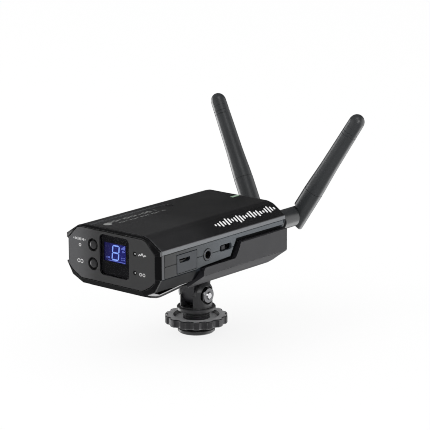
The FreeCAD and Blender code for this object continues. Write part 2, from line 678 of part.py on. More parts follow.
def antenna_foot():
    """Round root of the mast with a half lug that runs past the pin."""
    root = cylinder((0, 4.26, 0), Y, MAST_R, 10.69)
    lug = cylinder((0, -0.7, 0), Y, MAST_R, 5.2).common(box(LAP, 5, -0.7, 4.5, -5, 5))
    tail = cylinder((0, -5.5, 0), Y, MAST_R, 7.0).common(box(LAP, 5, -5.5, 1.2, -5, 5))
    tail = tail.common(cylinder((0, -0.7, 0), X, 4.8, 5.0))
    return cut(fuse(root, lug, tail),
               cylinder((0, 0, 0), X, PIN_HOLE_R, 3.9),
               cylinder((0, 13.0, 0), Y, 2.2, 3))


def mast_radius(distance):
    for (near, near_radius), (far, far_radius) in zip(TAPER, TAPER[1:]):
        if distance <= far:
            share = (distance - near) / (far - near)
            return near_radius + (far_radius - near_radius) * share


def antenna_sleeve():
    """Hollow tapered sleeve with two thin ring grooves near the tip."""
    profile = [(2.0, 13.05), (2.15, 13.05), (2.15, 15.0), (mast_radius(15) - 0.14, 15.0),
               (mast_radius(15), 15.15)]
    profile += [(radius, distance) for distance, radius in TAPER[1:-1]]
    for ring in RING_GROOVES:
        floor = mast_radius(ring) - 0.22
        profile += [(mast_radius(ring), ring), (floor, ring + 0.14), (floor, ring + 0.42),
                    (mast_radius(ring + 0.56), ring + 0.56)]
    profile[-7] = (mast_radius(RING_GROOVES[0]) - 0.22, RING_GROOVES[0] + 0.14)
    profile[-5] = (mast_radius(RING_GROOVES[0]), RING_GROOVES[0] + 0.56)
    profile[-1] = (mast_radius(RING_GROOVES[1]), RING_GROOVES[1] + 0.56)
    profile += [(mast_radius(TIP_JOINT), TIP_JOINT), (1.2, TIP_JOINT), (1.2, 16.5), (2.0, 16.5)]
    return revolve(profile, Y)


def antenna_tip():
    """Rounded tip with a spigot that plugs into the sleeve."""
    joint = TIP_JOINT + 0.06
    round_start = MAST_LEN - 0.4
    round_height = MAST_TIP_R + 0.4
    profile = [(0, 53.0), (1.15, 53.0), (1.15, joint), (mast_radius(joint), joint),
               (MAST_TIP_R, round_start)]
    for k in range(1, 9):
        angle = math.radians(10 * k)
        profile.append((MAST_TIP_R * math.cos(angle),
                        round_start + round_height * math.sin(angle)))
    profile.append((0, round_start + round_height))
    return revolve(profile, Y)


def antenna_element():
    return fuse(cylinder((0, 13.2, 0), Y, 1.8, 3.1), cylinder((0, 16.2, 0), Y, 0.8, 36.0))


def antenna_lead(side):
    """Feed lead from the bush to the main board, in the receiver frame."""
    outer, inner = side * ANTENNA_X, side * (ANTENNA_X - 4)
    return tube([(outer, 83.8, ANTENNA_Z), (outer, 78.0, ANTENNA_Z),
                 (inner, 72.0, ANTENNA_Z + 0.1), (inner, 68.5, ANTENNA_Z + 0.1)], 0.6)


def antenna_frame(side):
    """Matrix from the antenna frame to the receiver frame."""
    lean = side * math.radians(LEAN)
    cos, sin = math.cos(lean), math.sin(lean)
    return FreeCAD.Matrix(cos, 0, sin, side * ANTENNA_X, 0, 1, 0, HINGE_Y,
                          -sin, 0, cos, ANTENNA_Z, 0, 0, 0, 1)


def antenna_pieces(side_name, side):
    """Named pieces of one antenna, in the receiver frame."""
    frame = antenna_frame(side)
    fold = FreeCAD.Matrix()
    fold.rotateX(math.radians(FOLD))
    pieces = {}
    for build in (antenna_base, antenna_swivel, hinge_pin):
        pieces[side_name + "_" + build.__name__] = build().transformed(frame)
    for build in (antenna_foot, antenna_sleeve, antenna_tip, antenna_element):
        pieces[side_name + "_" + build.__name__] = build().transformed(fold).transformed(frame)
    return pieces


def antenna_nuts():
    return Part.makeCompound([antenna_nut().transformed(antenna_frame(side))
                              for side in (1, -1)])


def antenna_leads():
    return Part.makeCompound([antenna_lead(side) for side in (1, -1)])


# ------------------------------------------------------------- mount cradle
CRADLE_X = 30.3             # half width over the wings
CRADLE_BOTTOM = -31.0       # underside of the floor
CRADLE_FRONT, CRADLE_REAR = 28.3, 89.9
WING_TOP = -11.7
LUG_X = 3.7                 # half width of the tilt lug
LUG_R = 5.9
LATCH_Y, LATCH_Z = 34.0, -29.15             # latch pin axis

# Right halves of (x, z) outlines, top to bottom
CRADLE_OUTER = [(CRADLE_X, WING_TOP), (CRADLE_X, -22.8), (25.2, -26.4), (22.2, -28.7),
                (18.5, CRADLE_BOTTOM)]
CRADLE_INNER = [(27.7, -10), (27.7, -20.55), (24.66, -24.98), (19.07, -28.36)]
# Side view of the cradle, (y, z): sloped front edge, flat top, low front tail
CRADLE_SIDE = [(CRADLE_FRONT, -40), (CRADLE_FRONT, -20.6), (28.8, -19.5), (29.9, -18.95),
               (50.6, -18.95), (51.7, -18.2), (53.1, -16.2), (55.2, -12.0), (55.8, WING_TOP),
               (89.3, WING_TOP), (CRADLE_REAR, -12.2), (CRADLE_REAR, -40)]
# Side view of the latch tongue, (y, z): underside front to rear, then top rear to front
TONGUE_SIDE = [(0.9, -28.95), (2.0, -29.35), (4.5, -30.15), (8.6, -31.2), (11.3, -31.4),
               (14.8, -31.1), (18.3, -30.75), (25.4, -30.0), (31.1, -29.75), (33.4, -29.75),
               (34.4, -29.65), (34.75, -29.15),
               (34.4, -28.6), (33.6, -28.45), (31.1, -28.62), (25.4, -29.0), (18.3, -29.8),
               (14.8, -30.15), (11.3, -30.45), (8.6, -30.25), (4.5, -29.2), (2.2, -28.45),
               (1.3, -28.32), (0.9, -28.5)]
# Material trimmed off each front corner of the tongue, (x, y) on the right side
TONGUE_TRIM = [(19, 0), (15.5, 0), (18.6, 6), (19, 6)]


def rectangle(half_x, half_y, z):
    """Wire centred on the stem axis."""
    return polygon([Vector(x * half_x, STEM_Y + y * half_y, z)
                    for x, y in ((-1, -1), (1, -1), (1, 1), (-1, 1))])


def mount_cradle():
    """Winged tray with keyhole hooks on its floor and the tilt lug below."""
    cradle = prism_y(mirrored(CRADLE_OUTER), CRADLE_FRONT, CRADLE_REAR)
    cradle = cradle.cut(prism_y(mirrored(CRADLE_INNER), 20, 95))
    cradle = cradle.common(prism_x(CRADLE_SIDE, -40, 40))
    # Set the floor's front edge back over the tongue
    cradle = cradle.cut(box(-19.5, 19.5, 20, 31.6, -40, -20))
    cradle = chamfer_edges(cradle, 0.4, lambda edge: along(edge, Y)
                           and abs(start(edge).z - WING_TOP) < 1e-3
                           and abs(abs(start(edge).x) - CRADLE_X) < 1e-3)
    # Shallow groove along each flank
    for side in SIDES:
        cradle = cradle.cut(side_box(side, CRADLE_X - 0.25, CRADLE_X + 1, 27, 92, -22.9, -22.55))
    # Tongue pocket in the floor
    cradle = cradle.cut(box(-18.2, 18.2, 31, 36.2, -30.3, -28))
    for x, y in HOOKS:
        hook = bar(x, HOOK_STEM_W, y - 1.5, y + 1.5, -28.6, -26.4)
        hook = hook.fuse(bar(x, HOOK_HEAD_W, y - 1.5, y + 1.5, -26.5, -25.6))
        cradle = cradle.fuse(hook)
    boss = Part.makeLoft([rectangle(9.5, 11, -30.9), rectangle(LUG_X, 6.6, -33.6)], True, True)
    lug = prism_x([(STEM_Y - 6.6, -33.5), (STEM_Y + 6.6, -33.5),
                   (STEM_Y + LUG_R, TILT_DROP), (STEM_Y - LUG_R, TILT_DROP)], -LUG_X, LUG_X)
    lug = lug.fuse(cylinder((-LUG_X, STEM_Y, TILT_DROP), X, LUG_R, 2 * LUG_X))
    return cut(fuse(cradle, boss, lug),
               cylinder((-5, STEM_Y, TILT_DROP), X, 2.06, 10),
               cylinder((-19.2, LATCH_Y, LATCH_Z), X, 0.62, 38.4)).removeSplitter()


def latch_tongue():
    """Thin lever under the front of the receiver."""
    tongue = prism_x(TONGUE_SIDE, -18.0, 18.0)
    for side in SIDES:
        tongue = tongue.cut(prism_z([(side * x, y) for x, y in TONGUE_TRIM], -35, -25))
    return tongue.cut(cylinder((-20, LATCH_Y, LATCH_Z), X, 0.42, 40))


def latch_pin():
    return cylinder((-18.9, LATCH_Y, LATCH_Z), X, 0.36, 37.8)


# ------------------------------------------------- shoe mount, in the world frame
STEM_R = 6.5                # crest radius of the stem's thread
STEM_BORE = STEM_R + 0.08   # bore of the wheel and washer on the stem
THREAD_Z, THREAD_TURNS = 4.6, 6             # start of the ridges, spaced 1 mm
THREAD_ROOT_R = 5.95
CLEVIS_R = 7.85
CLEVIS_FLOOR = 13.05
BOLT_R, BOLT_HOLE_R = 1.98, 2.03
WHEEL_R = 15.2
WHEEL_Z, WHEEL_TOP = 4.5, 8.5
LOBES = 14                  # finger lobes of the lock wheel
LOBE_START = -36.5          # direction of the first scallop, degrees

# (radius, z) profile of the foot
FOOT_PROFILE = [(0, 0), (8.4, 0), (9.0, 0.55), (9.1, 1.7), (8.8, 2.0), (5.2, 2.0), (5.2, 4.3),
                (0, 4.3)]


def shoe_base():
    """Foot, ridged stem and the clevis for the tilt lug."""
    profile = [(0, 4.2), (5.2, 4.2), (5.55, 4.6)]
    for k in range(THREAD_TURNS):
        z = THREAD_Z + k
        profile += [(STEM_R, z + 0.35), (STEM_R, z + 0.6), (THREAD_ROOT_R, z + 0.9)]
    profile += [(THREAD_ROOT_R, 10.9), (9.0, 10.9), (9.4, 11.3), (9.4, 12.5), (9.1, 12.9),
                (7.9, 12.9), (CLEVIS_R, 13.2), (0, 13.2)]
    clevis = cylinder((0, 0, 13.0), Z, CLEVIS_R, 12.3)
    arch = cylinder((-8, 0, TILT_Z), X, 6.1, 16).fuse(box(-8, 8, -8, 8, 12.9, TILT_Z))
    clevis = clevis.common(arch)
    ball = Part.makeSphere(8.15, Vector(0, 0, TILT_Z))
    clevis = clevis.common(ball.fuse(cylinder((0, 0, 12), Z, 9, TILT_Z - 12)))
    clevis = clevis.cut(box(-3.78, 3.78, -9, 9, CLEVIS_FLOOR, 26))
    base = fuse(revolve(FOOT_PROFILE, Z), revolve(profile, Z), clevis)
    # Bolt hole, then the recesses for the nut and the bolt head
    return cut(base,
               cylinder((-9, 0, TILT_Z), X, BOLT_HOLE_R, 18),
               cylinder((5.8, 0, TILT_Z), X, 4.5, 4),
               cylinder((-9, 0, TILT_Z), X, 4.2, 1.7)).removeSplitter()


def tilt_bolt():
    bolt = fuse(cylinder((-7.4, 0, TILT_Z), X, BOLT_R, 16.0),
                cylinder((-8.6, 0, TILT_Z), X, 3.4, 1.25))
    bolt = chamfer_edges(bolt, 0.25, lambda edge: edge.BoundBox.XMax < -8.55)
    bolt = chamfer_edges(bolt, 0.6, lambda edge: edge.BoundBox.XMin > 8.55)
    return bolt.cut(cylinder((-8.9, 0, TILT_Z), X, 1.4, 1.1))


def tilt_nut():
    angles = [math.radians(60 * k) for k in range(6)]
    outline = [(4.04 * math.sin(angle), TILT_Z + 4.04 * math.cos(angle)) for angle in angles]
    nut = prism_x(outline, 5.85, 8.1)
    nut = nut.common(Part.makeCone(6.6, 3.45, 3.15, Vector(5.0, 0, TILT_Z), X))
    return nut.cut(cylinder((4, 0, TILT_Z), X, BOLT_HOLE_R, 6))


def lock_wheel():
    """Scalloped wheel with a dished top."""
    wheel = cylinder((0, 0, WHEEL_Z), Z, WHEEL_R, WHEEL_TOP - WHEEL_Z)
    reach = WHEEL_R + 1.85
    for k in range(LOBES):
        angle = math.radians(LOBE_START + 360.0 * k / LOBES)
        centre = (reach * math.cos(angle), reach * math.sin(angle), WHEEL_Z - 1)
        wheel = wheel.cut(cylinder(centre, Z, 2.9, 6))
    wheel = chamfer_edges(wheel, 0.45, lambda edge:
                          abs(edge.BoundBox.ZMax - edge.BoundBox.ZMin) < 1e-4)
    return cut(wheel,
               Part.makeCone(10.2, 11.2, 1.5, Vector(0, 0, WHEEL_TOP - 1.5), Z),
               cylinder((0, 0, WHEEL_TOP - 0.001), Z, 11.2, 1),
               cylinder((0, 0, 0), Z, STEM_BORE, 12))


def clamp_washer():
    return cylinder((0, 0, 3.85), Z, 10.5, 0.6).cut(cylinder((0, 0, 3), Z, STEM_BORE, 3))


# ------------------------------------------------------------------- export
RECEIVER_PIECES = (
    top_cover, rear_light_pipe, upper_case, lower_case, bottom_cover, rear_cap, front_frame,
    front_plate, display_window, window_mask, lcd_glass, lcd_backlight, display_board,
    display_standoffs, system_button, pair_button, tact_switches, button_guides,
    led_light_pipes, indicator_leds, port_panel, usb_port_shell, usb_port_tongue, audio_jack,
    jack_trim_ring, power_switch_body, power_switch_knob, main_board, rf_shield, board_chips,
    board_link, battery_cell, battery_pad, battery_leads, case_screws, antenna_nuts,
    antenna_leads, mount_cradle, latch_tongue, latch_pin, small_screws)
SHOE_PIECES = (shoe_base, tilt_bolt, tilt_nut, lock_wheel, clamp_washer)


def export(name, shape):
    solids = shape.Solids
    if not solids or not all(solid.isValid() for solid in solids):
        raise RuntimeError("bad solid in " + name)
    result = solids[0] if len(solids) == 1 else Part.makeCompound(solids)
    result.exportStep("parts/%s.step" % name)


receiver = {build.__name__: build() for build in RECEIVER_PIECES}
receiver.update(antenna_pieces("right", 1))
receiver.update(antenna_pieces("left", -1))
for name, shape in receiver.items():
    shape.translate(Vector(0, -STEM_Y, TOP_Z))
    export(name, shape)
for build in SHOE_PIECES:
    export(build.__name__, build())
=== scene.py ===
"""Compact receiver with a lit front display, held in a cradle on a tilting mount.

Metres, +Z up. The display and its plate face -Y, +X is the right side seen from the front,
and the floor lies at z = 0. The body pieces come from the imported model. This script adds
their materials, the raised prints, lit segments and contacts, and the studio.
"""

import json
import math

import bmesh
import bpy
from mathutils import Matrix, Vector


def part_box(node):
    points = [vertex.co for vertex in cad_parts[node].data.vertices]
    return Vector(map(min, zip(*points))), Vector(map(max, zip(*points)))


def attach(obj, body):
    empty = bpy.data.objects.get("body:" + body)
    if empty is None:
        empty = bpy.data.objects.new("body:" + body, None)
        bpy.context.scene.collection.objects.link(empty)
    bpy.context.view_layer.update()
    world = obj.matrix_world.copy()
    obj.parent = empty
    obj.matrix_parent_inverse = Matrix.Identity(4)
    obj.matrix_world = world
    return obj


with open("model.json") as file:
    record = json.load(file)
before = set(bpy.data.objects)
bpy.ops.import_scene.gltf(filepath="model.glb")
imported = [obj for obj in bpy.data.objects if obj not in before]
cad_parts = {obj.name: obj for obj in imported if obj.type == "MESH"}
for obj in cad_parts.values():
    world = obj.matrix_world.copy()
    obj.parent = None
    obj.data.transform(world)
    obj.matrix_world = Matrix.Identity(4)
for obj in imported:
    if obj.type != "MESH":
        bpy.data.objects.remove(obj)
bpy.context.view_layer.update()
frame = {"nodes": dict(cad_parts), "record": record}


MM = 0.001
X, Y, Z = Vector((1, 0, 0)), Vector((0, 1, 0)), Vector((0, 0, 1))

# Reference places read from the model
LID_LOW, LID_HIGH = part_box("top_cover")
LCD_LOW, LCD_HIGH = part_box("lcd_glass")
TOP = LID_HIGH.z
PLATE_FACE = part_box("front_plate")[0].y
PRINT_FRONT = LID_LOW.y - 0.35 * MM     # y from which the prints on the lid are measured

MATERIALS = {}


# ------------------------------------------------------------- shader helpers
class Shader:
    """Node tree of a material or world, with short calls that add nodes."""

    def __init__(self, owner, target, coordinates):
        owner.use_nodes = True
        self.tree = owner.node_tree
        self.tree.nodes.clear()
        self.output = self.node("Output" + target)
        self.position = self.node("TexCoord").outputs[coordinates]

    def feed(self, socket, value):
        """Link a socket, or set a plain value; colours are given as RGB."""
        if isinstance(value, bpy.types.NodeSocket):
            self.tree.links.new(value, socket)
        elif socket.type == "RGBA":
            socket.default_value = (*value, 1)
        else:
            socket.default_value = value

    def node(self, kind, inputs=None, **settings):
        node = self.tree.nodes.new("ShaderNode" + kind)
        for key, value in settings.items():
            setattr(node, key, value)
        for key, value in (inputs or {}).items():
            self.feed(node.inputs[key], value)
        return node

    def finish(self, result):
        self.feed(self.output.inputs[0], result.outputs[0])

    def math(self, operation, a, b=None, clamp=False):
        inputs = {0: a} if b is None else {0: a, 1: b}
        return self.node("Math", inputs, operation=operation, use_clamp=clamp).outputs[0]

    def multiply(self, a, b, clamp=False):
        return self.math("MULTIPLY", a, b, clamp)

    def swing(self, value, amount, clamp=False):
        """Scale a 0 to 1 value about its middle."""
        return self.multiply(self.math("SUBTRACT", value, 0.5), amount, clamp)

    def ramp(self, value, *stops):
        """Stops are (position, grey level or RGB)."""
        node = self.node("ValToRGB", {0: value})
        elements = node.color_ramp.elements
        while len(elements) < len(stops):
            elements.new(0.5)
        for element, (place, color) in zip(elements, stops):
            element.position = place
            rgb = color if isinstance(color, tuple) else (color,) * 3
            element.color = (*rgb, 1)
        return node.outputs[0]

    def mix(self, factor, a, b, blend="MIX"):
        inputs = {0: factor, 6: a, 7: b}
        return self.node("Mix", inputs, data_type="RGBA", blend_type=blend).outputs[2]

    def noise(self, scale, detail=3.0, rough=0.5, distortion=0.0, vector=None):
        return self.node("TexNoise", {
            "Scale": scale, "Detail": detail, "Roughness": rough, "Distortion": distortion,
            "Vector": self.position if vector is None else vector}).outputs["Fac"]

    def split(self, vector):
        return self.node("SeparateXYZ", {0: vector}).outputs

    def map_range(self, value, start, end, low=0.0, high=1.0, kind="SMOOTHSTEP"):
        return self.node("MapRange", {
            "Value": value, "From Min": start, "From Max": end, "To Min": low, "To Max": high},
            interpolation_type=kind).outputs[0]


def new_shader(name):
    MATERIALS[name] = bpy.data.materials.new(name)
    return Shader(MATERIALS[name], "Material", "Object")


def shade(color, factor, lift=0.0):
    return tuple(min(1.0, c * factor + lift) for c in color)


# ----------------------------------------------------------- material recipes
def add_dust(s, color, normal, dust):
    up = s.split(normal)["Z"]
    specks = s.ramp(s.noise(260.0, detail=6.0, rough=0.75), (0.48, 0.0), (0.75, 1.0))
    mask = s.multiply(s.multiply(s.math("MAXIMUM", up, 0.0), specks), dust, clamp=True)
    return s.mix(mask, color, (0.35, 0.34, 0.33))


def add_painted_falloff(s, color, painted_falloff):
    """Painted light falloff: a slow change of tone along one axis, as the light falls across a
    face.
    """
    axis, start_mm, end_mm, start_factor, end_factor = painted_falloff
    factor = s.map_range(s.split(s.position)[axis], start_mm * MM, end_mm * MM,
                         start_factor, end_factor)
    return s.node("VectorMath", {0: color, "Scale": factor}, operation="SCALE").outputs[0]


def add_painted_side_light(s, color, normal, broad, painted_side_color):
    """Painted light: flat faces turned to either side take a lighter tone, as if lit from that
    side.
    """
    sideways = s.math("ABSOLUTE", s.split(normal)["X"])
    mask = s.ramp(sideways, (0.93, 0.0), (0.985, 1.0))
    return s.mix(mask, color, s.mix(broad, shade(painted_side_color, 0.9), painted_side_color))


def add_painted_top_highlight(s, principled, color, normal, top_highlight_color, top_highlight_glow, top_highlight_area):
    """Painted highlight: upper faces take a lighter colour in patches, and a glow if asked, as
    if catching the light; kept to the front lip and side lines if top_highlight_area is given.
    """
    facing = s.ramp(s.split(normal)["Z"], (0.75, 0.0), (0.97, 1.0))
    patches = s.ramp(s.noise(320.0, detail=5.0, rough=0.7), (0.30, 0.72), (0.70, 1.0))
    mask = s.multiply(facing, patches)
    if top_highlight_area:
        lip_y, side_x = top_highlight_area
        place = s.split(s.position)
        lip = s.math("LESS_THAN", place["Y"], lip_y * MM)
        sides = s.math("GREATER_THAN", s.math("ABSOLUTE", place["X"]), side_x * MM)
        mask = s.multiply(mask, s.math("MAXIMUM", lip, sides))
    # painted light: the upper faces glow though no lamp is there
    if top_highlight_glow:
        s.feed(principled.inputs["Emission Strength"], s.multiply(mask, top_highlight_glow))
        s.feed(principled.inputs["Emission Color"], top_highlight_color)
    return s.mix(mask, color, top_highlight_color)


def add_painted_recess_shade(s, principled, color, base, spec, painted_shade_x):
    """Painted shade: darken everything nearer the middle than recess (mm), and dull its gloss,
    as shade on a sunken flank.
    """
    inside = s.math("LESS_THAN", s.math("ABSOLUTE", s.split(s.position)["X"]), painted_shade_x * MM)
    dulled = s.math("SUBTRACT", spec, s.multiply(inside, spec * 0.9))
    s.feed(principled.inputs["Specular IOR Level"], dulled)
    return s.mix(inside, color, shade(base, 0.06))


def surface(name, base, rough, metallic=0.0, grain=2600.0, bump=0.25, bump_mm=0.02, vary=0.10,
            smudge=0.08, edge_wear_and_highlight=0.35, edge_wear_and_highlight_color=None, wear_rough=None, edge=0.25, spec=0.5,
            brushed=None, dust=0.0, painted_side_color=None, top_highlight_color=None, top_highlight_glow=0.0, top_highlight_area=None,
            painted_shade_x=None, painted_falloff=None):
    """Moulded, painted or machined surface: fine grain, uneven gloss and lighter edges, partly
    worn and partly painted highlight.

    grain: noise scale of the fine grain     vary, smudge: spread of tone and of gloss
    edge: rounding in mm                     brushed: noise scale along each axis
    top_highlight_area: (front lip y, side |x|) in mm, bounds of the painted top highlight   recess: |x| in mm, inside which shade is painted
    drift: painted light falloff, (axis, start mm, end mm, factor at start, factor at end)
    """
    s = new_shader(name)
    principled = s.node("BsdfPrincipled", {
        "Metallic": metallic, "Specular IOR Level": spec, "Coat Roughness": 0.1})

    # colour: broad mottling and fine speckle
    broad = s.noise(42.0, detail=4.0, rough=0.55)
    fine = s.noise(grain, detail=2.0, rough=0.6)
    mottle = s.ramp(broad, (0.3, 0.0), (0.7, 1.0))
    color = s.mix(mottle, shade(base, 1 - vary), shade(base, 1 + vary))
    color = s.mix(s.swing(fine, 0.5, clamp=True), color, shade(base, 1.7, lift=0.01))

    # gloss: handling smudges and fine speckle
    smears = s.noise(95.0, detail=5.0, rough=0.62, distortion=0.8)
    gloss = s.math("ADD", s.swing(smears, smudge * 2.0), rough)
    gloss = s.math("ADD", s.swing(fine, smudge * 0.8), gloss)

    # edges: an edge is where the rounded normal parts from the true one; the lighter colour
    # there stands partly for worn edges and partly for painted highlights along them
    rounded = s.node("Bevel", {"Radius": edge * MM}, samples=4).outputs[0]
    normal = s.node("NewGeometry").outputs["Normal"]
    match = s.node("VectorMath", {0: rounded, 1: normal}, operation="DOT_PRODUCT")
    edges = s.ramp(match.outputs["Value"], (0.80, 1.0), (0.985, 0.0))
    edge_breakup = s.ramp(s.noise(700.0, detail=4.0, rough=0.7), (0.42, 0.0), (0.62, 1.0))
    patchy_edges = s.multiply(edges, s.math("ADD", s.multiply(edge_breakup, 0.7), 0.3))
    worn_or_highlit = s.multiply(patchy_edges, edge_wear_and_highlight, clamp=True)
    color = s.mix(worn_or_highlit, color, edge_wear_and_highlight_color or shade(base, 2.2, lift=0.02))
    if wear_rough is not None:
        gloss = s.math("ADD", gloss, s.multiply(worn_or_highlit, wear_rough - rough))

    if dust > 0:
        color = add_dust(s, color, normal, dust)
    # painted light falloff along one axis
    if painted_falloff:
        color = add_painted_falloff(s, color, painted_falloff)
    # painted side light: a lighter tone on faces turned to the sides
    if painted_side_color:
        color = add_painted_side_light(s, color, normal, broad, painted_side_color)
    # painted highlight on upper faces
    if top_highlight_color:
        color = add_painted_top_highlight(s, principled, color, normal, top_highlight_color, top_highlight_glow, top_highlight_area)
    # painted shade nearer the middle, on the sunken flank
    if painted_shade_x:
        color = add_painted_recess_shade(s, principled, color, base, spec, painted_shade_x)
    s.feed(principled.inputs["Base Color"], color)
    s.feed(principled.inputs["Roughness"], s.math("MAXIMUM", gloss, 0.04))

    # relief: fine grain, with turning or brushing marks where asked
    height = fine
    if brushed:
        stretched = s.node("Mapping", {"Vector": s.position, "Scale": brushed}).outputs[0]
        marks = s.noise(1.0, detail=3.0, rough=0.6, vector=stretched)
        height = s.math("ADD", s.multiply(fine, 0.3), marks)
    relief = s.node("Bump", {"Strength": bump, "Distance": bump_mm * MM,
                             "Height": height, "Normal": rounded})
    s.feed(principled.inputs["Normal"], relief.outputs[0])
    s.finish(principled)


def worn_steel(name, base, rough, brushed=(900, 900, 900)):
    surface(name, base=base, rough=rough, metallic=1.0, grain=1800, bump=0.35, bump_mm=0.012,
            vary=0.15, smudge=0.12, edge_wear_and_highlight=0.5, edge_wear_and_highlight_color=(0.85, 0.85, 0.86), edge=0.12,
            brushed=brushed)


def glass(name, tint, reflection, rough):
    """Clear window: mirror reflection on its front faces over a see-through body."""
    s = new_shader(name)
    clear = s.node("BsdfTransparent", {0: tint})
    smears = s.noise(160.0, detail=5.0, rough=0.6, distortion=0.6)
    mirror = s.node("BsdfGlossy", {
        "Roughness": s.ramp(smears, (0.35, rough), (0.75, rough + 0.09))})
    fresnel = s.node("Fresnel", {"IOR": 1.46}).outputs[0]
    front_only = s.math("SUBTRACT", 1.0, s.node("NewGeometry").outputs["Backfacing"])
    factor = s.multiply(s.multiply(fresnel, reflection), front_only, clamp=True)
    s.finish(s.node("MixShader", {0: factor, 1: clear.outputs[0], 2: mirror.outputs[0]}))


def ink(name, color, glow=0.0, rough=0.5, bump=0.2):
    """Printed ink: slightly uneven cover, with a glow if asked: backlight on the display
    segments, painted light on prints.
    """
    s = new_shader(name)
    cover = s.noise(1500.0, detail=3.0, rough=0.65)
    uneven = s.mix(s.ramp(cover, (0.35, 0.0), (0.7, 1.0)), shade(color, 0.86), color)
    relief = s.node("Bump", {"Strength": bump, "Distance": 0.01 * MM,
                             "Height": s.noise(3000.0, detail=2.0)})
    principled = s.node("BsdfPrincipled", {
        "Base Color": uneven,
        "Roughness": s.ramp(cover, (0.2, rough - 0.1), (0.8, rough + 0.12)),
        "Normal": relief.outputs[0]})
    if glow:
        s.feed(principled.inputs["Emission Color"], uneven)
        s.feed(principled.inputs["Emission Strength"], glow)
    s.finish(principled)


def backlit_cell(name):
    """Blue field, brighter towards +X, with a faint electrode grid."""
    margin = 1.2 * MM
    grid_pitch = 0.28 * MM
    s = new_shader(name)
    place = s.split(s.position)
    across = s.map_range(place["X"], LCD_LOW.x + margin, LCD_HIGH.x - margin, kind="LINEAR")
    level = s.math("ADD", across, s.swing(s.noise(300.0), 0.35))
    field = s.ramp(level, (0.0, (0.014, 0.012, 0.10)), (0.22, (0.024, 0.020, 0.24)),
                   (0.55, (0.030, 0.036, 0.42)), (1.0, (0.026, 0.034, 0.44)))
    lines = []
    for axis in ("X", "Z"):
        phase = s.math("FRACT", s.multiply(place[axis], 1.0 / grid_pitch))
        lines.append(s.ramp(phase, (0.0, 0.80), (0.10, 1.0), (0.92, 1.0), (1.0, 0.80)))
    s.finish(s.node("BsdfPrincipled", {
        "Base Color": (0.006, 0.006, 0.03), "Roughness": 0.25, "Specular IOR Level": 0.1,
        "Emission Color": s.mix(1.0, field, s.multiply(*lines), blend="MULTIPLY"),
        "Emission Strength": 0.26}))


# ------------------------------------------------------------------ materials
# top_shell: painted side light on its skirt, and a painted falloff, lighter towards the front
surface("top_shell", base=(0.100, 0.100, 0.105), rough=0.40, metallic=1.0, grain=2300,
        bump=0.30, smudge=0.06, edge_wear_and_highlight=0.45, edge_wear_and_highlight_color=(0.30, 0.30, 0.31), edge=0.22,
        dust=0.02, painted_side_color=(0.168, 0.174, 0.182), painted_falloff=("Y", -38, -12, 1.80, 1.0))
# case_grey: painted shade nearer the middle than |x| 27.8 mm, and a painted falloff, darker
# towards the front
surface("case_grey", base=(0.072, 0.084, 0.096), rough=0.44, grain=2300, bump=0.35,
        bump_mm=0.03, vary=0.07, smudge=0.07, edge_wear_and_highlight=0.10, edge_wear_and_highlight_color=(0.12, 0.14, 0.16),
        edge=0.12, painted_shade_x=27.8, painted_falloff=("Y", -60, 2, 0.05, 1.0))
surface("port_grey", base=(0.012, 0.016, 0.022), rough=0.36, grain=2500, bump=0.3,
        bump_mm=0.025, vary=0.06, edge_wear_and_highlight=0.25, edge_wear_and_highlight_color=(0.18, 0.20, 0.22), edge=0.12)
# bottom_shell: painted side light, a lighter tone on its side faces
surface("bottom_shell", base=(0.006, 0.0065, 0.0075), rough=0.50, grain=2200, bump=0.35,
        bump_mm=0.03, vary=0.12, edge_wear_and_highlight=0.15, edge_wear_and_highlight_color=(0.10, 0.10, 0.11), edge=0.15,
        spec=0.045, painted_side_color=(0.030, 0.036, 0.044))
# frame_black: painted side light on its side strips, and painted highlights along its edges
surface("frame_black", base=(0.005, 0.005, 0.0055), rough=0.26, grain=2500, bump=0.22,
        edge_wear_and_highlight=0.75, edge_wear_and_highlight_color=(0.30, 0.30, 0.31), edge=0.14, spec=0.06,
        painted_side_color=(0.128, 0.130, 0.136))
# plate_grey: painted light falloff, lighter towards its left edge
surface("plate_grey", base=(0.018, 0.018, 0.019), rough=0.42, grain=2700, vary=0.07,
        smudge=0.06, edge_wear_and_highlight_color=(0.12, 0.12, 0.12), edge=0.10,
        painted_falloff=("X", -23.5, -7, 3.3, 0.62))
glass("window_glass", tint=(0.96, 0.96, 0.98), reflection=0.08, rough=0.03)
surface("mask_black", base=(0.0012, 0.0012, 0.0015), rough=0.30, grain=3000, bump=0.05,
        vary=0.2, smudge=0.03, edge_wear_and_highlight=0.0, edge=0.05, spec=0.1)
backlit_cell("lcd_blue")
surface("light_guide", base=(0.5, 0.55, 0.9), rough=0.2, edge_wear_and_highlight=0.0)
surface("button_black", base=(0.006, 0.006, 0.007), rough=0.18, grain=1600, bump=0.05,
        bump_mm=0.01, vary=0.2, edge_wear_and_highlight=0.15, edge_wear_and_highlight_color=(0.06, 0.06, 0.062), edge=0.10,
        spec=0.6)
surface("guide_grey", base=(0.02, 0.02, 0.021), rough=0.5)
surface("pipe_white", base=(0.86, 0.87, 0.90), rough=0.22, vary=0.04, edge_wear_and_highlight=0.0, bump=0.1,
        edge=0.05)
surface("pipe_green", base=(0.30, 0.42, 0.31), rough=0.28, vary=0.08, edge_wear_and_highlight=0.1, bump=0.15,
        edge=0.1)
surface("led_white", base=(0.85, 0.85, 0.78), rough=0.3, edge_wear_and_highlight=0.0)
surface("board_green", base=(0.01, 0.09, 0.035), rough=0.35, grain=900, bump=0.5, vary=0.3,
        edge_wear_and_highlight=0.5, edge_wear_and_highlight_color=(0.45, 0.4, 0.22), edge=0.15)
surface("chip_black", base=(0.012, 0.012, 0.013), rough=0.5, grain=1800)
surface("tin_plate", base=(0.62, 0.62, 0.61), rough=0.32, metallic=1.0,
        brushed=(40, 1800, 1800), bump=0.3, edge=0.1)
